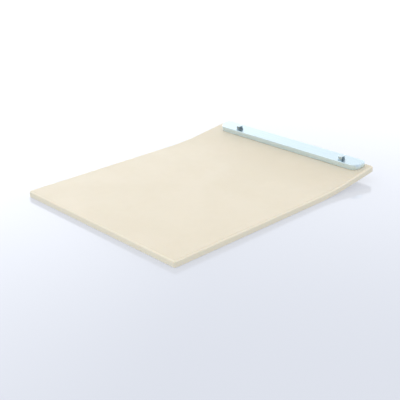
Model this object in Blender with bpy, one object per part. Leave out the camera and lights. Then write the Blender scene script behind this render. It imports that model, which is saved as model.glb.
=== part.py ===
"""Transfer board: a rigid plastic board with an upturned end, and a metal end bar held by two bolts.

Units are metres and +Z is up. The origin is the middle of the footprint, on the surface that the board
lies on. +X runs along the board towards the bar, and +Y points to the left long edge.
"""
import math

import bmesh
import bpy
from mathutils import Matrix, Vector

OBJECT_NAME = "transfer_board"

# Board. Distances along it are measured on its underside, from the near short edge.
BOARD_LENGTH = 0.587
BOARD_WIDTH = 0.450
BOARD_THICKNESS = 0.0135
BOARD_CORNER_RADIUS = 0.0055
BOARD_TOP_EDGE_RADIUS = 0.0042
BOARD_LOWER_EDGE_RADIUS = 0.0016
BEND_ANGLE = math.radians(7.2)
BEND_RADIUS = 0.797
BEND_MIDDLE = 0.443
BEND_START = BEND_MIDDLE - BEND_RADIUS * BEND_ANGLE / 2
BEND_END = BEND_MIDDLE + BEND_RADIUS * BEND_ANGLE / 2
BEND_STEPS = 10

# End bar, across the upturned end and nearer to the right long edge.
BAR_LENGTH = 0.409
BAR_DEPTH = 0.035
BAR_THICKNESS = 0.0125
BAR_FRONT_CORNER_RADIUS = 0.018
BAR_REAR_CORNER_RADIUS = 0.005
BAR_EDGE_RADIUS = 0.0008
BAR_FRONT = 0.5415
BAR_MIDDLE_Y = -0.0065

# M8 fasteners: one bolt near each end of the bar, in its front third.
BOLT_SPACING = 0.304
BOLT_MIDDLE_Y = -0.0125
BOLT_FROM_BAR_FRONT = 0.012
THREAD_RADIUS = 0.004
TIP_CHAMFER = 0.0008
HEAD_WIDTH = 0.013
HEAD_HEIGHT = 0.0053
HEAD_TURNS = {"left": math.radians(6), "right": math.radians(14)}
HEAD_FACE_RADIUS = 0.0062      # the round, flat part of the head's top
HEAD_CHAMFER_ANGLE = math.radians(30)
BOLT_LENGTH = 0.040
HOLE_RADIUS = 0.0045
FLAT_WASHER_RADIUS = 0.008
FLAT_WASHER_HEIGHT = 0.0016
SPRING_WASHER_RADIUS = 0.0072
SPRING_WASHER_HEIGHT = 0.0020
SPRING_WASHER_SLOT = 0.0012
SPRING_WASHER_SLANT = math.radians(20)
UNDER_WASHER_RADIUS = 0.012
UNDER_WASHER_HEIGHT = 0.0016
NUT_HEIGHT = 0.0080
NUT_HEX_HEIGHT = 0.0062
NUT_CROWN_RADIUS = 0.0060
COLLAR_RADIUS = 0.0052
COLLAR_HEIGHT = 0.0016
RING_CHAMFER = 0.0003

GAP = 0.0003           # between pieces that touch
ROUND_STEPS = 24       # facets around a fastener
MERGE_DISTANCE = 0.00001

# Heights of the stack's faces above the underside of the board.
BAR_TOP = BOARD_THICKNESS + BAR_THICKNESS
FLAT_WASHER_TOP = BAR_TOP + FLAT_WASHER_HEIGHT
HEAD_BOTTOM = FLAT_WASHER_TOP + SPRING_WASHER_HEIGHT
NUT_TOP = -UNDER_WASHER_HEIGHT
NUT_BOTTOM = NUT_TOP - NUT_HEIGHT

# Finishes: linear colour, metallic, roughness.
FINISHES = {
    "board_plastic": ((0.80, 0.74, 0.61), 0.0, 0.38),
    "bar_metal": ((0.75, 0.86, 0.91), 1.0, 0.30),
    "plated_steel": ((0.36, 0.40, 0.43), 1.0, 0.36),
    "nylon": ((0.80, 0.82, 0.84), 0.0, 0.45),
}


def clear_scene():
    """Removes every object, so that the script always starts from nothing."""
    for item in list(bpy.data.objects):
        bpy.data.objects.remove(item, do_unlink=True)


def make_collection(name):
    """Returns a new collection that is linked to the scene."""
    group = bpy.data.collections.new(name)
    bpy.context.scene.collection.children.link(group)
    return group


def make_finishes():
    """Returns a dictionary of Principled materials, one for each finish."""
    made = {}
    for name, (colour, metallic, roughness) in FINISHES.items():
        material = bpy.data.materials.new(name)
        material.use_nodes = True
        shader = material.node_tree.nodes["Principled BSDF"]
        shader.inputs["Base Color"].default_value = (*colour, 1.0)
        shader.inputs["Metallic"].default_value = metallic
        shader.inputs["Roughness"].default_value = roughness
        material.diffuse_color = (*colour, 1.0)
        made[name] = material
    return made


def add_object(name, bm, group, material=None, parent=None):
    """Turns a bmesh into an object in a collection, and returns the object."""
    bmesh.ops.recalc_face_normals(bm, faces=bm.faces)
    mesh = bpy.data.meshes.new(name)
    bm.to_mesh(mesh)
    bm.free()
    item = bpy.data.objects.new(name, mesh)
    group.objects.link(item)
    if material:
        mesh.materials.append(material)
    item.parent = parent
    return item


def add_empty(name, group, matrix, parent=None):
    """Adds an empty at a place in its parent's space, to carry the pieces that sit on one axis."""
    item = bpy.data.objects.new(name, None)
    item.empty_display_size = 0.02
    group.objects.link(item)
    item.parent = parent
    item.matrix_local = matrix
    return item


def hide_cutter(item):
    """Shows a cutter as a wire and keeps it out of renders."""
    item.display_type = "WIRE"
    item.hide_render = True
    return item


def add_boolean(item, cutter, operation):
    """Adds an exact Boolean modifier to a piece."""
    modifier = item.modifiers.new(operation.lower() + "_" + cutter.name, "BOOLEAN")
    modifier.operation = operation
    modifier.solver = "EXACT"
    modifier.object = cutter


def shade_round(item, angle=math.radians(32)):
    """Shades a piece smooth, with sharp edges kept where its faces turn by more than an angle."""
    item.data.shade_smooth()
    item.data.set_sharp_from_angle(angle=angle)


def bend_line(along):
    """Returns the turn of the bent sheet at a place, and that place's x and z on its underside."""
    turn = min(max((along - BEND_START) / BEND_RADIUS, 0.0), BEND_ANGLE)
    flat = min(along, BEND_START)
    past = max(along - BEND_END, 0.0)
    x = flat + BEND_RADIUS * math.sin(turn) + past * math.cos(turn)
    z = BEND_RADIUS * (1.0 - math.cos(turn)) + past * math.sin(turn)
    return turn, x, z


# The lower edge of the far end reaches furthest along X, just above its rounding.
FOOTPRINT_LENGTH = bend_line(BOARD_LENGTH)[1] - BOARD_LOWER_EDGE_RADIUS * math.sin(BEND_ANGLE)


def bend_point(along, across, height):
    """Carries a point of the flat sheet to its place on the bent board."""
    turn, x, z = bend_line(along)
    x -= height * math.sin(turn) + FOOTPRINT_LENGTH / 2
    return Vector((x, across, z + height * math.cos(turn)))


def seat_matrix(along, across):
    """Returns the frame of the upturned end at a place: its X lies in the board and its Z stands on it."""
    place = Matrix.Translation(bend_point(along, across, 0.0))
    return place @ Matrix.Rotation(-BEND_ANGLE, 4, "Y")


def bevel_edges(bm, edges, radius, steps):
    """Rounds some edges of a bmesh."""
    bmesh.ops.bevel(bm, geom=edges, offset=radius, offset_type="OFFSET", affect="EDGES",
                    segments=steps, profile=0.5, material=-1)


def edges_at(bm, height):
    """Returns the edges of a bmesh that lie wholly at one height."""
    return [e for e in bm.edges if all(abs(v.co.z - height) < MERGE_DISTANCE for v in e.verts)]


def rounded_slab(length, width, low, high, corner_radii, edge_radii, corner_steps, edge_steps):
    """Returns a flat slab as a bmesh, from x = 0 to its length, with rounded corners and edges.

    The corner radii are those at x = 0 and at its length, and the edge radii are the lower and the upper one.
    """
    bm = bmesh.new()
    size = Matrix.Diagonal((length, width, high - low, 1.0))
    middle = Matrix.Translation((length / 2, 0.0, (low + high) / 2))
    bmesh.ops.create_cube(bm, size=1.0, matrix=middle @ size)
    for end, radius in zip((0.0, length), corner_radii):
        upright = [e for e in bm.edges if abs((e.verts[0].co - e.verts[1].co).z) > (high - low) / 2
                   and abs(e.verts[0].co.x - end) < MERGE_DISTANCE]
        bevel_edges(bm, upright, radius, corner_steps)
    for height, radius in zip((low, high), edge_radii):
        bevel_edges(bm, edges_at(bm, height), radius, edge_steps)
    return bm


def turned(name, outline, group, material=None, parent=None, steps=ROUND_STEPS):
    """Turns a closed outline of (radius, height) points once about Z."""
    bm = bmesh.new()
    points = [bm.verts.new((radius, 0.0, height)) for radius, height in outline]
    joins = [bm.edges.new((points[i - 1], points[i])) for i in range(len(points))]
    bmesh.ops.spin(bm, geom=points + joins, cent=(0.0, 0.0, 0.0), axis=(0.0, 0.0, 1.0),
                   angle=2 * math.pi, steps=steps, use_merge=True)
    bmesh.ops.remove_doubles(bm, verts=bm.verts, dist=MERGE_DISTANCE)
    bmesh.ops.dissolve_degenerate(bm, edges=bm.edges, dist=MERGE_DISTANCE)
    bmesh.ops.delete(bm, geom=[e for e in bm.edges if not e.link_faces], context="EDGES")
    item = add_object(name, bm, group, material, parent)
    shade_round(item)
    return item


def ring(name, inner, outer, low, high, group, material=None, parent=None):
    """Makes a plain ring with small chamfers on its outer edges."""
    chamfer = min(RING_CHAMFER, (high - low) / 4)
    outline = [
        (inner, high), (outer - chamfer, high), (outer, high - chamfer),
        (outer, low + chamfer), (outer - chamfer, low), (inner, low),
    ]
    return turned(name, outline, group, material, parent)


def rod(name, radius, low, high, group, parent=None, steps=ROUND_STEPS):
    """Makes a plain cylinder between two heights."""
    bm = bmesh.new()
    bmesh.ops.create_cone(bm, cap_ends=True, segments=steps, radius1=radius, radius2=radius,
                          depth=high - low, matrix=Matrix.Translation((0.0, 0.0, (low + high) / 2)))
    return add_object(name, bm, group, None, parent)


def hexagon(name, width, turn, low, high, group, material, parent):
    """Makes a hexagonal prism of a given width across its flats, turned about its axis."""
    bm = bmesh.new()
    radius = width / 2 / math.cos(math.pi / 6)
    place = Matrix.Translation((0.0, 0.0, (low + high) / 2)) @ Matrix.Rotation(turn, 4, "Z")
    bmesh.ops.create_cone(bm, cap_ends=True, segments=6, radius1=radius, radius2=radius,
                          depth=high - low, matrix=place)
    return add_object(name, bm, group, material, parent)


def make_board(group, cutters, finish):
    """Makes the sheet flat, cuts it across where it bends, and carries each point to its bent place."""
    bm = rounded_slab(BOARD_LENGTH, BOARD_WIDTH, 0.0, BOARD_THICKNESS,
                      (BOARD_CORNER_RADIUS, BOARD_CORNER_RADIUS),
                      (BOARD_LOWER_EDGE_RADIUS, BOARD_TOP_EDGE_RADIUS), 6, 4)
    for step in range(BEND_STEPS + 1):
        along = BEND_START + (BEND_END - BEND_START) * step / BEND_STEPS
        everything = bm.verts[:] + bm.edges[:] + bm.faces[:]
        bmesh.ops.bisect_plane(bm, geom=everything, dist=MERGE_DISTANCE,
                               plane_co=(along, 0.0, 0.0), plane_no=(1.0, 0.0, 0.0))
    for vertex in bm.verts:
        vertex.co = bend_point(*vertex.co)
    board = add_object("board", bm, group, finish)
    for side, across in BOLT_SIDES:
        hole = rod(f"{side}_board_hole", HOLE_RADIUS, -BOARD_THICKNESS, 2 * BOARD_THICKNESS, cutters)
        hole.matrix_world = seat_matrix(BAR_FRONT + BOLT_FROM_BAR_FRONT, across)
        add_boolean(board, hide_cutter(hole), "DIFFERENCE")
    shade_round(board)
    return board


def make_bar(group, cutters, finish, seat):
    """Makes the flat metal bar, which lies on the upturned end."""
    bm = rounded_slab(BAR_DEPTH, BAR_LENGTH, BOARD_THICKNESS + GAP, BAR_TOP,
                      (BAR_FRONT_CORNER_RADIUS, BAR_REAR_CORNER_RADIUS),
                      (BAR_EDGE_RADIUS, BAR_EDGE_RADIUS), 10, 2)
    bar = add_object("end_bar", bm, group, finish, seat)
    for side, across in BOLT_SIDES:
        hole = rod(f"{side}_bar_hole", HOLE_RADIUS, 0.0, BAR_TOP + BAR_THICKNESS, cutters, seat)
        hole.location = (BOLT_FROM_BAR_FRONT, across - BAR_MIDDLE_Y, 0.0)
        add_boolean(bar, hide_cutter(hole), "DIFFERENCE")
    shade_round(bar)
    return bar


def make_bolt(side, group, cutters, finish, axis):
    """Makes a hex-head bolt: a chamfered head joined to a plain shank of the thread's diameter."""
    bottom = HEAD_BOTTOM + GAP
    top = HEAD_BOTTOM + HEAD_HEIGHT
    bolt = hexagon(f"{side}_bolt", HEAD_WIDTH, HEAD_TURNS[side], bottom, top, group, finish, axis)
    fall = HEAD_HEIGHT / 2
    wide_radius = HEAD_FACE_RADIUS + fall / math.tan(HEAD_CHAMFER_ANGLE)
    outline = [
        (0.0, top + GAP), (HEAD_FACE_RADIUS, top + GAP), (HEAD_FACE_RADIUS, top),
        (wide_radius, top - fall), (wide_radius, bottom - GAP), (0.0, bottom - GAP),
    ]
    chamfer = turned(f"{side}_head_chamfer", outline, cutters, None, axis, 36)
    add_boolean(bolt, hide_cutter(chamfer), "INTERSECT")
    end = HEAD_BOTTOM - BOLT_LENGTH
    shank = turned(f"{side}_shank", [
        (0.0, bottom + HEAD_HEIGHT / 2), (THREAD_RADIUS, bottom + HEAD_HEIGHT / 2),
        (THREAD_RADIUS, end + TIP_CHAMFER), (THREAD_RADIUS - TIP_CHAMFER, end), (0.0, end),
    ], cutters, None, axis)
    add_boolean(bolt, hide_cutter(shank), "UNION")
    return bolt


def make_spring_washer(side, group, cutters, finish, axis):
    """Makes a split spring washer, pressed flat under the bolt's head."""
    washer = ring(f"{side}_spring_washer", THREAD_RADIUS + GAP, SPRING_WASHER_RADIUS,
                  FLAT_WASHER_TOP + GAP, HEAD_BOTTOM, group, finish, axis)
    bm = bmesh.new()
    size = Matrix.Diagonal((SPRING_WASHER_SLOT, SPRING_WASHER_RADIUS, 3 * SPRING_WASHER_HEIGHT, 1.0))
    bmesh.ops.create_cube(bm, size=1.0, matrix=size)
    slot = add_object(f"{side}_washer_slot", bm, cutters, None, axis)
    bore_middle = (THREAD_RADIUS + SPRING_WASHER_RADIUS) / 2
    slot.location = (0.0, -bore_middle, FLAT_WASHER_TOP + SPRING_WASHER_HEIGHT / 2)
    slot.rotation_euler = (0.0, SPRING_WASHER_SLANT, 0.0)
    add_boolean(washer, hide_cutter(slot), "DIFFERENCE")
    return washer


def make_nut(side, group, cutters, finish, axis):
    """Makes a self-locking nut: a hexagon with a round crown below it, which holds the nylon ring."""
    top = NUT_TOP - GAP
    hex_bottom = NUT_TOP - NUT_HEX_HEIGHT
    nut = hexagon(f"{side}_nut", HEAD_WIDTH, 0.0, hex_bottom, top, group, finish, axis)
    crown = ring(f"{side}_nut_crown", THREAD_RADIUS - GAP, NUT_CROWN_RADIUS,
                 NUT_BOTTOM, hex_bottom + COLLAR_HEIGHT, cutters, None, axis)
    add_boolean(nut, hide_cutter(crown), "UNION")
    bore = rod(f"{side}_nut_bore", THREAD_RADIUS + GAP, NUT_BOTTOM - NUT_HEIGHT, top + NUT_HEIGHT,
               cutters, axis)
    add_boolean(nut, hide_cutter(bore), "DIFFERENCE")
    pocket = rod(f"{side}_nut_pocket", COLLAR_RADIUS, NUT_BOTTOM - NUT_HEIGHT,
                 NUT_BOTTOM + COLLAR_HEIGHT, cutters, axis)
    add_boolean(nut, hide_cutter(pocket), "DIFFERENCE")
    return nut


def make_fasteners(side, group, cutters, finishes, axis):
    """Makes one bolt's whole stack, from its head on the bar to the nut under the board."""
    steel = finishes["plated_steel"]
    make_bolt(side, group, cutters, steel, axis)
    make_spring_washer(side, group, cutters, steel, axis)
    ring(f"{side}_flat_washer", THREAD_RADIUS + GAP, FLAT_WASHER_RADIUS,
         BAR_TOP + GAP, FLAT_WASHER_TOP, group, steel, axis)
    ring(f"{side}_under_washer", THREAD_RADIUS + GAP, UNDER_WASHER_RADIUS,
         NUT_TOP, -GAP, group, steel, axis)
    make_nut(side, group, cutters, steel, axis)
    ring(f"{side}_nut_collar", THREAD_RADIUS + GAP, COLLAR_RADIUS - GAP,
         NUT_BOTTOM, NUT_BOTTOM + COLLAR_HEIGHT - GAP, group, finishes["nylon"], axis)


# Each bolt's name and its place across the board.
BOLT_SIDES = (
    ("left", BOLT_MIDDLE_Y + BOLT_SPACING / 2),
    ("right", BOLT_MIDDLE_Y - BOLT_SPACING / 2),
)


def main():
    """Builds the whole board."""
    clear_scene()
    group = make_collection(OBJECT_NAME)
    cutters = make_collection("cutters")
    finishes = make_finishes()
    make_board(group, cutters, finishes["board_plastic"])
    seat = add_empty("bar_seat", group, seat_matrix(BAR_FRONT, BAR_MIDDLE_Y))
    make_bar(group, cutters, finishes["bar_metal"], seat)
    for side, across in BOLT_SIDES:
        place = Matrix.Translation((BOLT_FROM_BAR_FRONT, across - BAR_MIDDLE_Y, 0.0))
        axis = add_empty(f"{side}_bolt_axis", group, place, seat)
        make_fasteners(side, group, cutters, finishes, axis)
    bpy.context.view_layer.update()


main()
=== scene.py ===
"""Fine surfaces, finishes and studio for a plastic transfer board with a bolted end bar.

Units are metres and +Z is up. +X runs along the board towards its upturned end, and +Y points to
the left long edge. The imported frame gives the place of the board's near edge and the bodies that
move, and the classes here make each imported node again, finely and in the same place.
"""
from __future__ import annotations

import logging
import math
from dataclasses import dataclass, field
from enum import Enum
from typing import Any, Iterable, Sequence, Union

import bmesh
import bpy
from mathutils import Matrix, Vector


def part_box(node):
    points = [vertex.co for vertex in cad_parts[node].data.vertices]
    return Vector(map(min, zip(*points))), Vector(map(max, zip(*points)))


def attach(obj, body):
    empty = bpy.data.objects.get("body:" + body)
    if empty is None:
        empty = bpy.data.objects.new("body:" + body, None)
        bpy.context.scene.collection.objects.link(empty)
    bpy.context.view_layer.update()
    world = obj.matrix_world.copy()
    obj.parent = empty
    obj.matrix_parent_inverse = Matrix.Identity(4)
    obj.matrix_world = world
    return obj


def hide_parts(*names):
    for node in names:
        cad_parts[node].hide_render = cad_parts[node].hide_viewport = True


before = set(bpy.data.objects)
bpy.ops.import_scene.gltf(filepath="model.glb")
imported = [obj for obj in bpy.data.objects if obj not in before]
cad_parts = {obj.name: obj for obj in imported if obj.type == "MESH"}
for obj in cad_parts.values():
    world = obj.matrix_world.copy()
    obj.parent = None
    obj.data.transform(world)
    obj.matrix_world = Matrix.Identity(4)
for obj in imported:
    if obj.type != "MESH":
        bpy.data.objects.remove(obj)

LOG = logging.getLogger("transfer_board")
MERGE_DISTANCE = 0.000001
CAD_GAP = 0.0003        # left between pieces that touch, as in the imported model
ORIGIN = (0.0, 0.0, 0.0)
UP = (0.0, 0.0, 1.0)
CHAMFER_ANGLE = math.radians(30)
HOLE_SEGMENTS = 48
SMALL_SEGMENTS = 64
RING_SEGMENTS = 72
CHAMFER_SEGMENTS = 96

Colour = tuple[float, float, float]
Stretch = tuple[float, float, float]


# ------------------------------------------------------------
# Shader maths
# ------------------------------------------------------------

class Signal:
    """A node's output in shader maths. Python's operators on it add Math nodes to its graph."""

    def __init__(self, graph: "Graph", socket: bpy.types.NodeSocket) -> None:
        """Keeps the graph and the output socket that carries the value."""
        self.graph = graph
        self.socket = socket

    def maths(self, operation: str, *values: Any) -> "Signal":
        """Adds a Math node.

        Args:
            operation: the node's operation, such as ADD.
            values: its inputs in order, as signals or numbers.

        Returns:
            The node's output.
        """
        return self.graph.add("ShaderNodeMath", {"operation": operation}, dict(enumerate(values)))

    def __add__(self, other: "Value") -> "Signal":
        """Adds a value."""
        return self.maths("ADD", self, other)

    def __radd__(self, other: "Value") -> "Signal":
        """Adds this to a value."""
        return self.maths("ADD", other, self)

    def __sub__(self, other: "Value") -> "Signal":
        """Takes a value away."""
        return self.maths("SUBTRACT", self, other)

    def __rsub__(self, other: "Value") -> "Signal":
        """Takes this away from a value."""
        return self.maths("SUBTRACT", other, self)

    def __mul__(self, other: "Value") -> "Signal":
        """Multiplies by a value."""
        return self.maths("MULTIPLY", self, other)

    def __pow__(self, other: "Value") -> "Signal":
        """Raises this to a power."""
        return self.maths("POWER", self, other)

    def __abs__(self) -> "Signal":
        """Drops the sign."""
        return self.maths("ABSOLUTE", self)

    def sine(self) -> "Signal":
        """Takes the sine, in radians."""
        return self.maths("SINE", self)

    def lower(self, other: "Value") -> "Signal":
        """Takes the smaller of two values."""
        return self.maths("MINIMUM", self, other)

    def upper(self, other: "Value") -> "Signal":
        """Takes the larger of two values."""
        return self.maths("MAXIMUM", self, other)

    def step(self, start: float, end: float) -> "Signal":
        """Rises smoothly from 0 to 1.

        Args:
            start: the value at which the result is 0.
            end: the value at which the result is 1. It may be the smaller one, for a falling step.

        Returns:
            The smooth step.
        """
        (low, first), (high, last) = sorted(((start, 0.0), (end, 1.0)))
        return self.graph.add("ShaderNodeMapRange", {"interpolation_type": "SMOOTHSTEP"},
                              {0: self, 1: low, 2: high, 3: first, 4: last})


Value = Union[Signal, float]


class Graph:
    """A node tree, built by naming node types, settings and socket values."""

    def __init__(self, tree: bpy.types.NodeTree) -> None:
        """Keeps the tree that the nodes go into."""
        self.tree = tree

    def add(self, kind: str, settings: dict[str, Any] | None = None,
            inputs: dict[Any, Any] | None = None, output: int | str = 0) -> Signal:
        """Adds a node.

        Args:
            kind: the node's type.
            settings: its properties, set before its sockets.
            inputs: its sockets by name or index, each a signal, a number or a tuple.
            output: the socket to return, by name or index.

        Returns:
            That output.
        """
        node = self.tree.nodes.new(kind)
        for key, value in (settings or {}).items():
            setattr(node, key, value)
        for key, value in (inputs or {}).items():
            self.feed(node.inputs[key], value)
        return Signal(self, node.outputs[output])

    def feed(self, socket: bpy.types.NodeSocket, value: Any) -> None:
        """Links a signal to a socket, or sets the socket's own value."""
        if isinstance(value, Signal):
            self.tree.links.new(value.socket, socket)
        elif isinstance(value, tuple) and socket.type == "RGBA":
            socket.default_value = (*value, 1.0)
        else:
            socket.default_value = value

    def place(self, origin: Vector = Vector(), turn: Sequence[float] = (0.0, 0.0, 0.0),
              scale: Sequence[float] = (1.0, 1.0, 1.0)) -> Signal:
        """Gives the piece's own coordinates about a centre.

        Args:
            origin: the point that becomes the pattern's centre.
            turn: the turn of the pattern's axes, in radians.
            scale: how much each axis of the pattern is stretched.

        Returns:
            The coordinates as a vector.
        """
        coordinates = self.add("ShaderNodeTexCoord", output="Object")
        centred = self.add("ShaderNodeVectorMath", {"operation": "SUBTRACT"},
                           {0: coordinates, 1: tuple(origin)})
        turned_axes = self.add("ShaderNodeMapping", {"vector_type": "POINT"},
                               {"Vector": centred, "Rotation": tuple(turn)})
        return self.add("ShaderNodeMapping", {"vector_type": "POINT"},
                        {"Vector": turned_axes, "Scale": tuple(scale)})

    def dot(self, first: Any, second: Any) -> Signal:
        """Multiplies two vectors into one number, which is 1 for equal directions."""
        return self.add("ShaderNodeVectorMath", {"operation": "DOT_PRODUCT"},
                        {0: first, 1: second}, output="Value")

    def split(self, vector: Signal) -> tuple[Signal, Signal, Signal]:
        """Splits a vector into its three values."""
        first = self.add("ShaderNodeSeparateXYZ", None, {0: vector})
        node = first.socket.node
        return first, Signal(self, node.outputs[1]), Signal(self, node.outputs[2])

    def noise(self, vector: Signal, scale: float, detail: float = 2.0,
              roughness: float = 0.5) -> Signal:
        """Adds a noise pattern.

        Args:
            vector: the coordinates that it reads.
            scale: lumps to the metre.
            detail: how many finer layers it has.
            roughness: how strong the finer layers are.

        Returns:
            The pattern, about 0.5 on average.
        """
        return self.add("ShaderNodeTexNoise", None, {
            "Vector": vector, "Scale": scale, "Detail": detail, "Roughness": roughness})

    def mix(self, factor: Value, first: Any, second: Any) -> Signal:
        """Mixes two colours.

        Args:
            factor: 0 for the first colour, and 1 for the second.
            first: a colour or a signal.
            second: a colour or a signal.

        Returns:
            The mixed colour.
        """
        settings = {"data_type": "RGBA", "blend_type": "MIX"}
        return self.add("ShaderNodeMix", settings, {0: factor, 6: first, 7: second}, output=2)

    def bump(self, height: Signal, depth: float, strength: float,
             under: Signal | None = None) -> Signal:
        """Adds a bump.

        Args:
            height: the pattern, from 0 to 1.
            depth: what 1 stands for, in metres.
            strength: how much of it shows.
            under: the normal that this bump adds to.

        Returns:
            The bumped normal.
        """
        inputs: dict[Any, Any] = {"Height": height, "Distance": depth, "Strength": strength}
        if under is not None:
            inputs["Normal"] = under
        return self.add("ShaderNodeBump", None, inputs, output="Normal")


class SurfaceGraph(Graph):
    """The node tree of one new material, around its Principled shader."""

    def __init__(self, name: str) -> None:
        """Makes the material."""
        self.material = bpy.data.materials.new(name)
        self.material.use_nodes = True
        super().__init__(self.material.node_tree)

    def surface(self, **sockets: Any) -> bpy.types.Material:
        """Feeds the Principled shader.

        Args:
            sockets: its inputs by name, with _ for a space.

        Returns:
            The finished material.
        """
        shader = self.tree.nodes["Principled BSDF"]
        for key, value in sockets.items():
            self.feed(shader.inputs[key.replace("_", " ")], value)
        return self.material


# ------------------------------------------------------------
# Mesh helpers
# ------------------------------------------------------------

def bevel_edges(bm: bmesh.types.BMesh, edges: Iterable[bmesh.types.BMEdge], width: float,
                segments: int) -> None:
    """Rounds edges.

    Args:
        bm: the mesh.
        edges: the edges to round.
        width: the radius of the rounding.
        segments: how many faces make the rounding.
    """
    bmesh.ops.bevel(bm, geom=list(edges), offset=width, offset_type="OFFSET", affect="EDGES",
                    segments=segments, profile=0.5, material=-1)


def rounded_slab(length: float, width: float, low: float, high: float,
                 corners: tuple[float, float], edges: tuple[float, float], corner_segments: int,
                 edge_segments: tuple[int, int]) -> bmesh.types.BMesh:
    """Makes a flat slab with rounded corners and edges.

    Args:
        length: its size along X, from x = 0.
        width: its size along Y, about y = 0.
        low: the height of its underside.
        high: the height of its top.
        corners: the radius of its near corners, at x = 0, and of its far corners, in plan.
        edges: the radius of its lower edge and of its upper edge.
        corner_segments: faces around each corner.
        edge_segments: faces around its lower edge and around its upper edge.

    Returns:
        The slab.
    """
    bm = bmesh.new()
    middle = Matrix.Translation((length / 2, 0.0, (low + high) / 2))
    size = Matrix.Diagonal((length, width, high - low, 1.0))
    bmesh.ops.create_cube(bm, size=1.0, matrix=middle @ size)
    tall = (high - low) / 2
    for place, radius in zip((0.0, length), corners):
        upright = [e for e in bm.edges if abs((e.verts[0].co - e.verts[1].co).z) > tall
                   and all(abs(v.co.x - place) < MERGE_DISTANCE for v in e.verts)]
        bevel_edges(bm, upright, radius, corner_segments)
    for height, radius, segments in zip((low, high), edges, edge_segments):
        rim = [e for e in bm.edges if all(abs(v.co.z - height) < MERGE_DISTANCE for v in e.verts)]
        bevel_edges(bm, rim, radius, segments)
    return bm


def cut_flat(bm: bmesh.types.BMesh, place: Vector, normal: Vector, clear: bool = False) -> None:
    """Cuts a mesh with a plane.

    Args:
        bm: the mesh.
        place: a point of the plane.
        normal: the plane's outward direction.
        clear: whether what lies outside the plane is removed.
    """
    bmesh.ops.bisect_plane(bm, geom=bm.verts[:] + bm.edges[:] + bm.faces[:],
                           dist=MERGE_DISTANCE, plane_co=place, plane_no=normal,
                           clear_outer=clear)


def turned(outline: Sequence[tuple[float, float]], segments: int) -> bmesh.types.BMesh:
    """Turns a closed outline of (radius, height) points once about Z.

    Args:
        outline: the points in order. Points on the axis have a radius of 0.
        segments: faces around the axis.

    Returns:
        The closed, turned shape.
    """
    bm = bmesh.new()
    points = [bm.verts.new((radius, 0.0, height)) for radius, height in outline]
    joins = [bm.edges.new((points[i - 1], points[i])) for i in range(len(points))]
    bmesh.ops.spin(bm, geom=points + joins, cent=ORIGIN, axis=UP, angle=2 * math.pi,
                   steps=segments, use_merge=True)
    bmesh.ops.remove_doubles(bm, verts=bm.verts, dist=MERGE_DISTANCE)
    bmesh.ops.dissolve_degenerate(bm, edges=bm.edges, dist=MERGE_DISTANCE)
    on_axis = [f for f in bm.faces
               if all(math.hypot(v.co.x, v.co.y) < MERGE_DISTANCE for v in f.verts)]
    bmesh.ops.delete(bm, geom=on_axis, context="FACES")
    bare = [e for e in bm.edges if not e.link_faces]
    bmesh.ops.delete(bm, geom=bare, context="EDGES")
    bmesh.ops.recalc_face_normals(bm, faces=bm.faces)
    return bm


def quarter_turn(steps: int) -> list[float]:
    """Gives the angles of a quarter turn in equal steps, from 0 to 90 degrees, in radians."""
    return [math.radians(90 / steps * number) for number in range(steps + 1)]


def hexagon(width: float, low: float, high: float, turn: float) -> bmesh.types.BMesh:
    """Makes a hexagonal prism.

    Args:
        width: its size across flats.
        low: the height of its lower face.
        high: the height of its upper face.
        turn: its turn about Z, in radians.

    Returns:
        The prism.
    """
    bm = bmesh.new()
    radius = width / 2 / math.cos(math.pi / 6)
    place = Matrix.Translation((0.0, 0.0, (low + high) / 2)) @ Matrix.Rotation(turn, 4, "Z")
    bmesh.ops.create_cone(bm, cap_ends=True, segments=6, radius1=radius, radius2=radius,
                          depth=high - low, matrix=place)
    return bm


def as_object(name: str, bm: bmesh.types.BMesh) -> bpy.types.Object:
    """Turns a bmesh into an object with its faces pointing out."""
    bmesh.ops.recalc_face_normals(bm, faces=bm.faces)
    mesh = bpy.data.meshes.new(name)
    bm.to_mesh(mesh)
    bm.free()
    item = bpy.data.objects.new(name, mesh)
    bpy.context.scene.collection.objects.link(item)
    return item


class Join(Enum):
    """How a helper shape acts on a piece."""

    ADD = "UNION"
    CUT = "DIFFERENCE"
    KEEP_INSIDE = "INTERSECT"


def combine(item: bpy.types.Object,
            steps: Iterable[tuple[Join, bmesh.types.BMesh]]) -> bpy.types.Object:
    """Joins helper shapes to a piece or cuts it with them, and removes them.

    Args:
        item: the piece.
        steps: what to do in order, each with its helper shape.

    Returns:
        The piece, as one plain mesh.
    """
    helpers = []
    for number, (join, bm) in enumerate(steps):
        helper = as_object(f"{item.name}_helper_{number}", bm)
        modifier = item.modifiers.new(helper.name, "BOOLEAN")
        modifier.operation = join.value
        modifier.solver = "EXACT"
        modifier.object = helper
        helpers.append(helper)
    graph = bpy.context.evaluated_depsgraph_get()
    made = bpy.data.meshes.new_from_object(item.evaluated_get(graph))
    item.modifiers.clear()
    item.data = made
    for helper in helpers:
        bpy.data.objects.remove(helper, do_unlink=True)
    return item


@dataclass(frozen=True)
class Seat:
    """A place on the upturned end: its Z stands on the board and its X lies in it."""

    matrix: Matrix

    def carry(self, item: bpy.types.Object) -> None:
        """Moves a piece's mesh from its own upright place to this one."""
        item.data.transform(self.matrix)

    @property
    def origin(self) -> Vector:
        """The seat's origin in the frame."""
        return self.matrix.translation

    @property
    def untilt(self) -> tuple[float, float, float]:
        """The turn that makes the frame's coordinates run along this seat's axes."""
        return tuple(self.matrix.to_3x3().inverted().to_euler("XYZ"))


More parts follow.
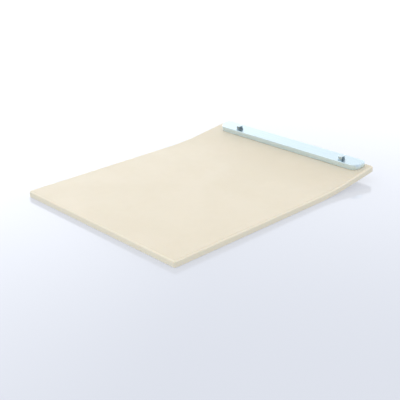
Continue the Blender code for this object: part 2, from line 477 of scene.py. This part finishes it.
def register(item: bpy.types.Object, material: bpy.types.Material, body: str, node: str,
             sharp_angle: float = math.radians(28)) -> bpy.types.Object:
    """Finishes a piece: smooth shading with crisp edges, its material, its body and its node.

    Args:
        item: the piece.
        material: its material.
        body: the body that it moves with.
        node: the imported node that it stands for.
        sharp_angle: edges that turn by more than this stay crisp.

    Returns:
        The piece.
    """
    item.data.materials.clear()
    item.data.materials.append(material)
    item.data.shade_smooth()
    item.data.set_sharp_from_angle(angle=sharp_angle)
    weighted = item.modifiers.new("even_shading", "WEIGHTED_NORMAL")
    weighted.keep_sharp = True
    weighted.mode = "FACE_AREA"
    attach(item, body)
    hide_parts(node)
    LOG.info("%s: %d faces, rides on %s", item.name, len(item.data.polygons), body)
    return item


# ------------------------------------------------------------
# Finishes
# ------------------------------------------------------------

@dataclass(frozen=True)
class BoardPlastic:
    """Cream sheet plastic: faint mottling, a fine satin grain, slide marks, a painted highlight on
    the rounded rims and machined side faces."""

    light: Colour = (0.724, 0.650, 0.513)
    deep: Colour = (0.708, 0.634, 0.494)
    side_colour: Colour = (0.750, 0.700, 0.560)
    # painted highlight: the lighter colour mixed onto the rounded rims
    rim_highlight_colour: Colour = (0.860, 0.795, 0.650)
    roughness: float = 0.36
    marked_roughness: float = 0.14
    handled_roughness: float = 0.06
    sawn_roughness: float = 0.14
    mottle_scale: float = 9.0
    cloud_scale: float = 55.0
    handled_scale: float = 14.0
    grain_scale: float = 1500.0
    grain_depth: float = 0.00002
    streak_stretch: Stretch = (30.0, 30.0, 700.0)
    slide_stretch: Stretch = (5.0, 420.0, 5.0)
    drift_stretch: Stretch = (9.0, 900.0, 9.0)
    drift_turn: float = 0.22
    mill_pitch: float = 0.0016
    mill_depth: float = 0.00003

    def material(self) -> bpy.types.Material:
        """Makes the material."""
        graph = SurfaceGraph("board_plastic")
        place = graph.place()
        x, y, _ = graph.split(place)
        upright = abs(graph.split(graph.add("ShaderNodeNewGeometry", output="Normal"))[2])
        side = upright.step(0.55, 0.20)
        # mask of the rounded rims, where the painted highlight goes
        rim = upright.step(0.985, 0.90) * (1 - side)

        mottle = graph.noise(place, self.mottle_scale, 3.0)
        cloud = graph.noise(place, self.cloud_scale, 4.0, 0.6)
        face = graph.mix((mottle * 0.7 + cloud * 0.3).step(0.38, 0.62), self.light, self.deep)
        streak = graph.noise(graph.place(scale=self.streak_stretch), 1.0, 2.0, 0.6)
        sawn = graph.mix(streak.step(0.3, 0.7) * 0.12, self.side_colour, self.deep)
        # the painted rim highlight is mixed over the face and side colours
        colour = graph.mix(rim * 0.75, graph.mix(side, face, sawn), self.rim_highlight_colour)

        slide = graph.noise(graph.place(scale=self.slide_stretch), 1.0, 3.0, 0.65)
        askew = graph.place(turn=(0.0, 0.0, self.drift_turn), scale=self.drift_stretch)
        drift = graph.noise(askew, 1.0, 2.0, 0.7)
        marks = slide.step(0.60, 0.74).upper(drift.step(0.66, 0.74)) * (1 - side)
        handled = graph.noise(place, self.handled_scale, 5.0, 0.62).step(0.42, 0.66)
        rough = (self.roughness + marks * self.marked_roughness
                 + handled * self.handled_roughness + side * self.sawn_roughness)

        grain = graph.noise(place, self.grain_scale, 3.0, 0.6)
        satin = graph.bump(grain, self.grain_depth, 0.35)
        scored = graph.bump(1 - marks, self.grain_depth, 0.5, satin)
        chatter = ((x + y) * (2 * math.pi / self.mill_pitch)).sine() * 0.5 + 0.5
        milled = graph.bump(chatter * side, self.mill_depth, 0.5, scored)
        return graph.surface(Base_Color=colour, Roughness=rough, Normal=milled, IOR=1.5,
                             Subsurface_Weight=0.12, Subsurface_Scale=0.004,
                             Subsurface_Radius=(1.0, 0.75, 0.45))


@dataclass(frozen=True)
class BarMetal:
    """Pale, cool metal with a fine grain brushed along the bar, and handling smudges."""

    seat: Seat
    light: Colour = (0.735, 0.875, 0.945)
    deep: Colour = (0.66, 0.80, 0.88)
    roughness: float = 0.24
    brushed_roughness: float = 0.10
    smudged_roughness: float = 0.08
    smudge_scale: float = 38.0
    brushed_stretch: Stretch = (1800.0, 14.0, 1800.0)
    brushed_depth: float = 0.000012
    coarse_stretch: Stretch = (420.0, 4.0, 420.0)
    coarse_depth: float = 0.000015

    def material(self) -> bpy.types.Material:
        """Makes the material."""
        graph = SurfaceGraph("bar_metal")
        origin, turn = self.seat.origin, self.seat.untilt
        place = graph.place(origin, turn)
        brushed = graph.noise(graph.place(origin, turn, self.brushed_stretch), 1.0, 3.0, 0.6)
        coarse = graph.noise(graph.place(origin, turn, self.coarse_stretch), 1.0, 2.0, 0.5)
        smudge = graph.noise(place, self.smudge_scale, 4.0, 0.6).step(0.45, 0.70)
        tone = (brushed * 0.6 + coarse * 0.4).step(0.35, 0.65)
        rough = (self.roughness + brushed * self.brushed_roughness
                 + smudge * self.smudged_roughness)
        lines = graph.bump(brushed, self.brushed_depth, 0.5)
        waves = graph.bump(coarse, self.coarse_depth, 0.25, lines)
        return graph.surface(Base_Color=graph.mix(tone, self.light, self.deep), Metallic=1.0,
                             Roughness=rough, Normal=waves)


@dataclass(frozen=True)
class PlatedSteel:
    """Zinc-plated steel with painted light: the faces away from the board get a painted highlight,
    the flanks are a painted shade of dark blue-grey, and the flats that face the user get a painted
    sheen."""

    seat: Seat
    name: str
    # strength of the painted sheen on the flats that face the user
    sheen_strength: float
    # painted highlight: the colour of the faces away from the board
    painted_highlight_colour: Colour = (0.70, 0.83, 0.90)
    # light and deep are painted shade: dark flank colours that stand in for the dark surroundings
    # the flanks reflect, varied at random
    light: Colour = (0.28, 0.34, 0.38)
    deep: Colour = (0.13, 0.165, 0.19)
    roughness: float = 0.34
    patchy_roughness: float = 0.12
    speckled_roughness: float = 0.08
    polish: float = 0.08
    patch_scale: float = 260.0
    speck_scale: float = 1700.0
    speck_depth: float = 0.000015
    ring_pitch: float = 0.00035
    ring_depth: float = 0.000008

    def material(self) -> bpy.types.Material:
        """Makes the material."""
        graph = SurfaceGraph(self.name)
        place = graph.place(self.seat.origin, self.seat.untilt)
        x, y, _ = graph.split(place)
        radius = (x * x + y * y) ** 0.5
        rings = (radius * (2 * math.pi / self.ring_pitch)).sine() * 0.5 + 0.5
        patch = graph.noise(place, self.patch_scale, 4.0, 0.6)
        speck = graph.noise(place, self.speck_scale, 3.0, 0.6)

        axes = self.seat.matrix.to_3x3()
        normal = graph.add("ShaderNodeNewGeometry", output="Normal")
        outward = graph.dot(normal, tuple(axes.col[2]))
        userward = graph.dot(normal, tuple(-axes.col[0]))
        # painted sheen: the flats that face the user are lightened
        user_side_sheen = userward.step(0.70, 0.92) * self.sheen_strength * (0.8 + patch * 0.4)
        # painted highlight on the faces away from the board, joined with the painted sheen
        painted_highlight_mask = (outward.step(0.60, 0.86) * (0.85 + patch * 0.3)).lower(1.0).upper(user_side_sheen)
        tone = (patch * 0.75 + speck * 0.25).step(0.36, 0.64)
        # the painted highlight is mixed over the painted flank shade
        colour = graph.mix(painted_highlight_mask, graph.mix(tone, self.light, self.deep), self.painted_highlight_colour)
        rough = (self.roughness + patch.step(0.4, 0.7) * self.patchy_roughness
                 + speck * self.speckled_roughness - painted_highlight_mask * self.polish)
        turned_marks = graph.bump(rings, self.ring_depth, 0.4)
        pitted = graph.bump(speck, self.speck_depth, 0.3, turned_marks)
        return graph.surface(Base_Color=colour, Metallic=1.0, Roughness=rough, Normal=pitted)


@dataclass(frozen=True)
class Nylon:
    """Milky nylon, slightly blue, with a moulded grain."""

    light: Colour = (0.78, 0.82, 0.86)
    deep: Colour = (0.66, 0.72, 0.78)
    roughness: float = 0.42
    grain_roughness: float = 0.1
    cloud_scale: float = 300.0
    grain_scale: float = 2500.0
    grain_depth: float = 0.00001

    def material(self) -> bpy.types.Material:
        """Makes the material."""
        graph = SurfaceGraph("nylon")
        place = graph.place()
        cloud = graph.noise(place, self.cloud_scale, 3.0)
        grain = graph.noise(place, self.grain_scale, 2.0)
        return graph.surface(Base_Color=graph.mix(cloud.step(0.35, 0.65), self.light, self.deep),
                             Roughness=self.roughness + grain * self.grain_roughness,
                             Normal=graph.bump(grain, self.grain_depth, 0.4),
                             Subsurface_Weight=0.2, Subsurface_Scale=0.002)


@dataclass(frozen=True)
class StudioFloor:
    """Pale, lightly polished light table. Its even glow lets the board throw hardly any shadow."""

    colour: Colour = (0.28, 0.29, 0.32)
    glow: Colour = (0.375, 0.392, 0.435)
    roughness: float = 0.10

    def material(self) -> bpy.types.Material:
        """Makes the material."""
        graph = SurfaceGraph("studio_floor")
        return graph.surface(Base_Color=self.colour, Roughness=self.roughness, IOR=1.65,
                             Emission_Color=self.glow, Emission_Strength=1.0)


# ------------------------------------------------------------
# Pieces
# ------------------------------------------------------------

@dataclass(frozen=True)
class GentleBend:
    """The curve that lifts the board's far end, along its underside from the near edge."""

    middle: float = 0.443
    radius: float = 0.797
    angle: float = math.radians(7.2)
    near_edge_x: float = field(default_factory=lambda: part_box("board")[0].x)

    @property
    def start(self) -> float:
        """Where the flat part ends."""
        return self.middle - self.radius * self.angle / 2

    @property
    def end(self) -> float:
        """Where the straight upturned end begins."""
        return self.middle + self.radius * self.angle / 2

    def carry(self, along: float, across: float, height: float) -> Vector:
        """Carries a point of the flat sheet to its place on the bent board.

        Args:
            along: distance from the near edge.
            across: distance from the middle line.
            height: height above the underside.

        Returns:
            The point in the frame.
        """
        turn = min(max((along - self.start) / self.radius, 0.0), self.angle)
        flat = min(along, self.start)
        past = max(along - self.end, 0.0)
        base_x = flat + self.radius * math.sin(turn) + past * math.cos(turn)
        base_z = self.radius * (1.0 - math.cos(turn)) + past * math.sin(turn)
        x = base_x - height * math.sin(turn)
        return Vector((x + self.near_edge_x, across, base_z + height * math.cos(turn)))

    def seat(self, along: float, across: float) -> Seat:
        """Gives the seat at a place on the upturned end."""
        tilt = Matrix.Rotation(-self.angle, 4, "Y")
        return Seat(Matrix.Translation(self.carry(along, across, 0.0)) @ tilt)


@dataclass
class BoardSheet:
    """The plastic board: one sheet with rounded corners and edges, bent up at its far end."""

    bend: GentleBend
    length: float = 0.587
    width: float = 0.450
    thickness: float = 0.0135
    corner: float = 0.0055
    corner_segments: int = 12
    lower_edge: float = 0.0016
    upper_edge: float = 0.0042
    edge_segments: tuple[int, int] = (4, 8)
    strip: float = 0.004
    hole_radius: float = 0.0045

    def build(self, bolt_seats: Iterable[Seat]) -> bpy.types.Object:
        """Builds the sheet.

        Args:
            bolt_seats: where the bolts pass through it.

        Returns:
            The sheet, in place.
        """
        bm = rounded_slab(self.length, self.width, 0.0, self.thickness,
                          (self.corner, self.corner), (self.lower_edge, self.upper_edge),
                          self.corner_segments, self.edge_segments)
        count = math.ceil((self.bend.end - self.bend.start) / self.strip)
        step = (self.bend.end - self.bend.start) / count
        across = Vector((1.0, 0.0, 0.0))
        for number in range(count + 1):
            cut_flat(bm, across * (self.bend.start + step * number), across)
        for vertex in bm.verts:
            vertex.co = self.bend.carry(*vertex.co)
        sheet = as_object("board_sheet", bm)
        return combine(sheet, [(Join.CUT, self._hole(seat)) for seat in bolt_seats])

    def _hole(self, seat: Seat) -> bmesh.types.BMesh:
        """Makes the cutter of one bolt hole."""
        reach = self.thickness
        bm = turned([(0.0, 2 * reach), (self.hole_radius, 2 * reach),
                     (self.hole_radius, -reach), (0.0, -reach)], HOLE_SEGMENTS)
        bmesh.ops.transform(bm, matrix=seat.matrix, verts=bm.verts)
        return bm

    def dress(self, sheet: bpy.types.Object, finish: BoardPlastic) -> bpy.types.Object:
        """Gives the sheet its finish and its body."""
        return register(sheet, finish.material(), "board_and_bar", "board")


@dataclass
class EndBar:
    """The flat metal bar across the upturned end."""

    seat: Seat
    board_top: float
    length: float = 0.409
    depth: float = 0.035
    thickness: float = 0.0125
    front_corner: float = 0.018
    rear_corner: float = 0.005
    corner_segments: int = 24
    edge: float = 0.0009
    edge_segments: tuple[int, int] = (4, 4)
    hole_radius: float = 0.0045
    hole_chamfer: float = 0.0004

    @property
    def top(self) -> float:
        """The height of its top above the board's underside."""
        return self.board_top + self.thickness

    def build(self, hole_places: Iterable[tuple[float, float]]) -> bpy.types.Object:
        """Builds the bar.

        Args:
            hole_places: the (x, y) of each hole, in the bar's seat.

        Returns:
            The bar, in place.
        """
        bm = rounded_slab(self.depth, self.length, self.board_top + CAD_GAP, self.top,
                          (self.front_corner, self.rear_corner), (self.edge, self.edge),
                          self.corner_segments, self.edge_segments)
        bar = combine(as_object("flat_bar", bm),
                      [(Join.CUT, self._hole(x, y)) for x, y in hole_places])
        self.seat.carry(bar)
        return bar

    def _hole(self, x: float, y: float) -> bmesh.types.BMesh:
        """Makes the cutter of one drilled hole, with a small chamfer at each mouth."""
        radius, wide = self.hole_radius, self.hole_radius + self.hole_chamfer
        low, high = self.board_top + CAD_GAP, self.top
        beyond = self.thickness / 4
        bm = turned([(0.0, high + beyond), (wide + beyond, high + beyond),
                     (radius, high - self.hole_chamfer), (radius, low + self.hole_chamfer),
                     (wide + beyond, low - beyond), (0.0, low - beyond)], HOLE_SEGMENTS)
        bmesh.ops.translate(bm, vec=(x, y, 0.0), verts=bm.verts)
        return bm

    def dress(self, bar: bpy.types.Object, finish: BarMetal) -> bpy.types.Object:
        """Gives the bar its finish and its body."""
        return register(bar, finish.material(), "board_and_bar", "end_bar")


@dataclass
class BoltStack:
    """One bolt with its washers, self-locking nut and nylon ring, all on one axis.

    Heights run along the axis from the board's underside. A washer is given by its radius and its
    thickness, and an inset is how much smaller a radius is than the one that it is named for.
    """

    side: str
    seat: Seat
    bar_top: float
    head_turn: float
    head_width: float = 0.013
    head_height: float = 0.0053
    flat_share: float = 0.95
    seat_share: float = 0.92
    bolt_length: float = 0.040
    neck_length: float = 0.0020
    neck_inset: float = 0.0003
    tip_inset: float = 0.0008
    thread_radius: float = 0.004
    thread_pitch: float = 0.00125
    thread_depth: float = 0.00065
    thread_run_out: float = 0.0015
    thread_segments: int = 32
    flat_washer: tuple[float, float] = (0.008, 0.0016)
    spring_washer: tuple[float, float] = (0.0072, 0.0020)
    under_washer: tuple[float, float] = (0.012, 0.0016)
    washer_roll: float = 0.0004
    washer_nick: float = 0.0001
    split_lift: float = 0.0002
    split_sweep: float = math.radians(350)
    split_slant: float = math.radians(14)
    split_place: float = math.radians(-85)
    split_edge: float = 0.00012
    split_segments: int = 68
    nut_height: float = 0.0080
    nut_hex_height: float = 0.0062
    nut_sink: float = 0.0004
    crown_radius: float = 0.0060
    collar_radius: float = 0.0052
    collar_height: float = 0.0016
    collar_edge: float = 0.00015

    @property
    def head_bottom(self) -> float:
        """The height of the head's seat above the board's underside."""
        return self.bar_top + self.flat_washer[1] + self.spring_washer[1]

    @property
    def washer_bore(self) -> float:
        """The radius of the washers' holes."""
        return self.thread_radius + CAD_GAP

    def _chamfer_radii(self, fall: float) -> tuple[float, float]:
        """Gives the radii of a hexagon's chamfer, at its flat face and at `fall` from that face."""
        flat = self.head_width / 2 * self.flat_share
        return flat, flat + fall / math.tan(CHAMFER_ANGLE)

    def _head(self) -> bpy.types.Object:
        """Makes the hexagonal head with its chamfered top and round seat."""
        low, high = self.head_bottom + CAD_GAP, self.head_bottom + self.head_height
        fall = self.head_height / 2
        flat, wide = self._chamfer_radii(fall)
        chamfer = turned([(0.0, high), (flat, high), (wide, high - fall), (wide, low - fall),
                          (0.0, low - fall)], CHAMFER_SEGMENTS)
        head = as_object(f"{self.side}_hex_bolt",
                         hexagon(self.head_width, low, high, self.head_turn))
        radius = self.head_width / 2 * self.seat_share
        boss = turned([(0.0, low + CAD_GAP), (radius, low + CAD_GAP),
                       (radius, self.head_bottom), (0.0, self.head_bottom)], SMALL_SEGMENTS)
        return combine(head, [(Join.KEEP_INSIDE, chamfer), (Join.ADD, boss)])

    def _thread(self) -> bmesh.types.BMesh:
        """Makes the rolled thread: a groove's profile swept along a helix and cut flat at its ends.

        Returns:
            The thread, closed at both ends. Its profile's heights are shares of the pitch.
        """
        pitch, crest = self.thread_pitch, self.thread_radius
        root = crest - self.thread_depth
        end = self.head_bottom - self.bolt_length
        top = self.head_bottom - self.thread_run_out
        spare = 1.5
        turns = math.ceil((top - end) / pitch) + 2
        bm = bmesh.new()
        profile = [(root, 0.0), (root, 0.20), (crest, 0.46), (crest, 0.60), (root, 0.86),
                   (root, 1.0)]
        points = [bm.verts.new((radius, 0.0, end + (rise - spare) * pitch))
                  for radius, rise in profile]
        joins = [bm.edges.new(pair) for pair in zip(points, points[1:])]
        bmesh.ops.spin(bm, geom=points + joins, cent=ORIGIN, axis=UP,
                       dvec=(0.0, 0.0, pitch / self.thread_segments),
                       angle=2 * math.pi * turns, steps=self.thread_segments * turns)
        bmesh.ops.remove_doubles(bm, verts=bm.verts, dist=pitch / 100)
        for height, up in ((top, 1.0), (end, -1.0)):
            cut_flat(bm, Vector((0.0, 0.0, height)), Vector((0.0, 0.0, up)), clear=True)
            rim = [e for e in bm.edges if e.is_boundary
                   and all(abs(v.co.z - height) < pitch / 50 for v in e.verts)]
            bmesh.ops.edgeloop_fill(bm, edges=rim)
        return bm

    def _bolt(self) -> bpy.types.Object:
        """Makes the whole bolt: head, plain neck and thread with a chamfered end."""
        end = self.head_bottom - self.bolt_length
        shank = as_object(f"{self.side}_shank", self._thread())
        wide = self.thread_radius * 1.5
        tip = turned([(0.0, self.head_bottom), (wide, self.head_bottom), (wide, end + wide / 2),
                      (self.thread_radius - self.tip_inset, end), (0.0, end)], SMALL_SEGMENTS)
        radius = self.thread_radius - self.neck_inset
        high = self.head_bottom + self.head_height / 2
        low = self.head_bottom - self.neck_length
        neck = turned([(0.0, high), (radius, high), (radius, low), (0.0, low)], HOLE_SEGMENTS)
        shank = combine(shank, [(Join.KEEP_INSIDE, tip), (Join.ADD, neck)])
        bm = bmesh.new()
        bm.from_mesh(shank.data)
        bpy.data.objects.remove(shank, do_unlink=True)
        return combine(self._head(), [(Join.ADD, bm)])

    def _flat_ring(self, name: str, radius: float, low: float, high: float) -> bpy.types.Object:
        """Makes a stamped washer, with a rounded upper outer edge and crisp other edges.

        Args:
            name: the washer's name.
            radius: its outer radius.
            low: the height of its lower face.
            high: the height of its upper face.

        Returns:
            The washer.
        """
        bore, nick = self.washer_bore, self.washer_nick
        roll = min(self.washer_roll, (high - low) / 3)
        punched = [(radius - roll + roll * math.sin(a), high - roll + roll * math.cos(a))
                   for a in quarter_turn(6)]
        return as_object(name, turned([
            (bore, high - nick), (bore + nick, high), *punched,
            (radius, low + nick), (radius - nick, low), (bore, low)], RING_SEGMENTS))

    def _split_ring(self) -> bpy.types.Object:
        """Makes the split spring washer: a square section swept round, with a slanting gap."""
        bore, (radius, height) = self.washer_bore, self.spring_washer
        low, high = self.head_bottom - height, self.head_bottom
        bm = bmesh.new()
        section = [(bore, low), (radius, low), (radius, high - self.split_lift),
                   (bore, high - self.split_lift)]
        points = [bm.verts.new((across, 0.0, up)) for across, up in section]
        face = bm.faces.new(points)
        bmesh.ops.spin(bm, geom=[face, *face.edges, *points], cent=ORIGIN, axis=UP,
                       dvec=(0.0, 0.0, self.split_lift / self.split_segments),
                       angle=self.split_sweep, steps=self.split_segments)
        bmesh.ops.remove_doubles(bm, verts=bm.verts, dist=MERGE_DISTANCE)
        middle = (low + high) / 2
        for vertex in bm.verts:
            turn = (vertex.co.z - middle) / height * self.split_slant + self.split_place
            vertex.co = Matrix.Rotation(turn, 4, "Z") @ vertex.co
        bmesh.ops.recalc_face_normals(bm, faces=bm.faces)
        crisp = [e for e in bm.edges
                 if len(e.link_faces) == 2 and e.calc_face_angle() > math.radians(40)]
        bevel_edges(bm, crisp, self.split_edge, 2)
        return as_object(f"{self.side}_split_washer", bm)

    def _nut(self) -> bpy.types.Object:
        """Makes the self-locking nut: hexagon, domed crown, countersunk bore and ring pocket."""
        top = -self.under_washer[1] - CAD_GAP
        hex_low = -self.under_washer[1] - self.nut_hex_height
        low = -self.under_washer[1] - self.nut_height
        fall = (top - hex_low) / 2 - CAD_GAP
        flat, wide = self._chamfer_radii(fall)
        chamfer = turned([(0.0, top), (flat, top), (wide, top - fall), (wide, hex_low + fall),
                          (flat, hex_low), (0.0, hex_low)], CHAMFER_SEGMENTS)
        lip = self.crown_radius - self.collar_radius
        dome = [(self.crown_radius - lip + lip * math.cos(a), low + lip - lip * math.sin(a))
                for a in quarter_turn(5)]
        crown = turned([(0.0, hex_low + CAD_GAP), (self.crown_radius + CAD_GAP, hex_low + CAD_GAP),
                        (self.crown_radius, hex_low - CAD_GAP), *dome, (0.0, low)], RING_SEGMENTS)
        bore, sink, beyond = self.washer_bore, self.nut_sink, self.nut_height / 4
        ledge = low + self.collar_height
        pocket = turned([(0.0, top + beyond), (bore + sink + beyond, top + beyond),
                         (bore, top - sink), (bore, ledge), (self.collar_radius, ledge),
                         (self.collar_radius, low - beyond), (0.0, low - beyond)], RING_SEGMENTS)
        nut = as_object(f"{self.side}_lock_nut", hexagon(self.head_width, hex_low, top, 0.0))
        return combine(nut, [(Join.KEEP_INSIDE, chamfer), (Join.ADD, crown), (Join.CUT, pocket)])

    def _collar(self) -> bpy.types.Object:
        """Makes the nylon ring in the nut's crown."""
        low = -self.under_washer[1] - self.nut_height
        high = low + self.collar_height - CAD_GAP
        bore, radius, soft = self.washer_bore, self.collar_radius - CAD_GAP, self.collar_edge
        return as_object(f"{self.side}_nylon_ring", turned([
            (bore, high), (radius, high), (radius, low + soft), (radius - soft, low),
            (bore + soft, low), (bore, low + soft)], SMALL_SEGMENTS))

    def build(self) -> dict[str, bpy.types.Object]:
        """Builds the stack.

        Returns:
            Its pieces in place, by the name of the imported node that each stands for.
        """
        flat_low, flat_high = self.bar_top + CAD_GAP, self.bar_top + self.flat_washer[1]
        made = {
            "bolt": self._bolt(),
            "spring_washer": self._split_ring(),
            "flat_washer": self._flat_ring(f"{self.side}_top_washer", self.flat_washer[0],
                                           flat_low, flat_high),
            "under_washer": self._flat_ring(f"{self.side}_wide_washer", self.under_washer[0],
                                            -self.under_washer[1], -CAD_GAP),
            "nut": self._nut(),
            "nut_collar": self._collar(),
        }
        for piece in made.values():
            self.seat.carry(piece)
        return made

    def dress(self, made: dict[str, bpy.types.Object], steel: PlatedSteel, nylon: Nylon) -> None:
        """Gives each piece its finish and its body.

        Args:
            made: the pieces, by node.
            steel: the metal pieces' finish.
            nylon: the locking ring's finish.
        """
        looks = {"nut_collar": (nylon.material(), "nylon")}
        plated = (steel.material(), "plated_steel")
        bodies = {"bolt": f"{self.side}_screw", "spring_washer": f"{self.side}_washers",
                  "flat_washer": f"{self.side}_washers"}
        for node, piece in made.items():
            material, slot = looks.get(node, plated)
            register(piece, material, bodies.get(node, "board_and_bar"),
                     f"{self.side}_{node}", math.radians(24))


# ------------------------------------------------------------
# Studio
# ------------------------------------------------------------

@dataclass(frozen=True)
class Glow:
    """A wide, soft patch of light in the room, like a large diffused lamp with no edge.

    It is full towards its middle. Its span gives the cosines of the angles from there at which it
    starts and is full.
    """

    towards: tuple[float, float, float]
    span: tuple[float, float]
    strength: float


@dataclass
class Studio:
    """The floor, the room that lights it and the camera."""

    floor_size: float = 30.0
    floor_drop: float = 0.0002
    sky: Colour = (0.98, 0.99, 1.0)
    sky_strength: float = 0.90
    horizon: Glow = Glow((0.85, 0.53, 0.0), (0.1, 0.85), 1.0)
    horizon_fade: tuple[float, float] = (0.58, 0.22)
    lamps: tuple[Glow, ...] = (
        Glow((0.2475, 0.9237, 0.2924), (0.86, 0.99), 0.80),
        Glow((-0.7066, 0.4572, 0.5403), (0.80, 0.98), 0.66),
        Glow((-0.9450, -0.1890, 0.2660), (0.84, 0.98), 0.54),
        Glow((0.6712, -0.6712, 0.3146), (0.86, 0.99), 0.71),
    )
    camera_aim: Vector = field(default_factory=lambda: Vector((-0.0543, -0.0410, 0.0)))
    camera_distance: float = 1.640
    camera_azimuth: float = math.radians(-43.95)
    camera_elevation: float = math.radians(23.15)
    camera_roll: float = math.radians(-0.5)
    lens: float = 71.8

    def floor(self, finish: StudioFloor) -> bpy.types.Object:
        """Lays the floor, just under the board."""
        bm = bmesh.new()
        bmesh.ops.create_grid(bm, x_segments=2, y_segments=2, size=self.floor_size / 2,
                              matrix=Matrix.Translation((0.0, 0.0, -self.floor_drop)))
        floor = as_object("studio_floor", bm)
        floor.data.materials.append(finish.material())
        return floor

    def world(self) -> None:
        """Fills the room with an even, pale light, brighter low down behind the board and at each
        lamp."""
        world = bpy.data.worlds.new("studio_room")
        world.use_nodes = True
        graph = Graph(world.node_tree)
        direction = graph.add("ShaderNodeTexCoord", output="Generated")
        low = graph.split(direction)[2].step(*self.horizon_fade)
        total = low * self._patch(graph, direction, self.horizon) + self.sky_strength
        for lamp in self.lamps:
            total = total + self._patch(graph, direction, lamp)
        background = graph.tree.nodes["Background"]
        graph.feed(background.inputs["Color"], self.sky)
        graph.feed(background.inputs["Strength"], total)
        bpy.context.scene.world = world

    def _patch(self, graph: Graph, direction: Signal, glow: Glow) -> Signal:
        """Adds a patch of light that fades away from its middle.

        Args:
            graph: the room's graph.
            direction: the direction seen.
            glow: where the patch is, how wide it is and how bright.

        Returns:
            The light that it adds in that direction.
        """
        return graph.dot(direction, glow.towards).step(*glow.span) * glow.strength

    def camera(self) -> bpy.types.Object:
        """Sets up the camera."""
        lens = bpy.data.cameras.new("camera")
        lens.lens = self.lens
        camera = bpy.data.objects.new("camera", lens)
        bpy.context.scene.collection.objects.link(camera)
        level = math.cos(self.camera_elevation)
        back = Vector((math.sin(self.camera_azimuth) * level,
                       -math.cos(self.camera_azimuth) * level,
                       math.sin(self.camera_elevation)))
        camera.location = self.camera_aim + back * self.camera_distance
        level_view = (-back).to_track_quat("-Z", "Y").to_matrix().to_4x4()
        view = level_view @ Matrix.Rotation(self.camera_roll, 4, "Z")
        camera.rotation_euler = view.to_euler()
        bpy.context.scene.camera = camera
        return camera

    def build(self) -> None:
        """Builds the whole studio."""
        self.camera()
        self.floor(StudioFloor())
        self.world()
        bpy.context.scene.view_settings.view_transform = "Standard"


# ------------------------------------------------------------
# The whole board
# ------------------------------------------------------------

@dataclass
class TransferBoard:
    """The board, its end bar and the two bolts that hold it.

    The bar's front is measured along the board from its near edge, the middles from the board's
    middle line, and the bolts from the bar's front. The turn and the painted sheen's strength are
    each bolt head's.
    """

    bend: GentleBend = field(default_factory=GentleBend)
    bar_front: float = 0.5415
    bar_middle: float = -0.0065
    bolt_middle: float = -0.0125
    bolt_spacing: float = 0.304
    bolt_from_front: float = 0.012
    # each head: its turn and the strength of its painted sheen
    left_head: tuple[float, float] = (math.radians(6), 0.22)
    right_head: tuple[float, float] = (math.radians(14), 0.70)

    def bolt_places(self) -> dict[str, float]:
        """Gives each bolt's side and its place across the board."""
        reach = self.bolt_spacing / 2
        return {"left": self.bolt_middle + reach, "right": self.bolt_middle - reach}

    def build(self) -> None:
        """Builds and dresses every piece."""
        seats = {side: self.bend.seat(self.bar_front + self.bolt_from_front, across)
                 for side, across in self.bolt_places().items()}
        sheet = BoardSheet(self.bend)
        sheet.dress(sheet.build(seats.values()), BoardPlastic())
        bar_seat = self.bend.seat(self.bar_front, self.bar_middle)
        bar = EndBar(bar_seat, sheet.thickness)
        holes = [(self.bolt_from_front, across - self.bar_middle)
                 for across in self.bolt_places().values()]
        bar.dress(bar.build(holes), BarMetal(bar_seat))
        for (side, seat), (turn, sheen_strength) in zip(seats.items(), (self.left_head, self.right_head)):
            stack = BoltStack(side, seat, bar.top, turn)
            stack.dress(stack.build(), PlatedSteel(seat, f"{side}_plated_steel", sheen_strength), Nylon())


def main() -> None:
    """Builds the studio and the board."""
    logging.basicConfig(level=logging.INFO, format="%(name)s: %(message)s")
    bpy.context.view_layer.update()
    Studio().build()
    TransferBoard().build()


if __name__ == "__main__":
    main()
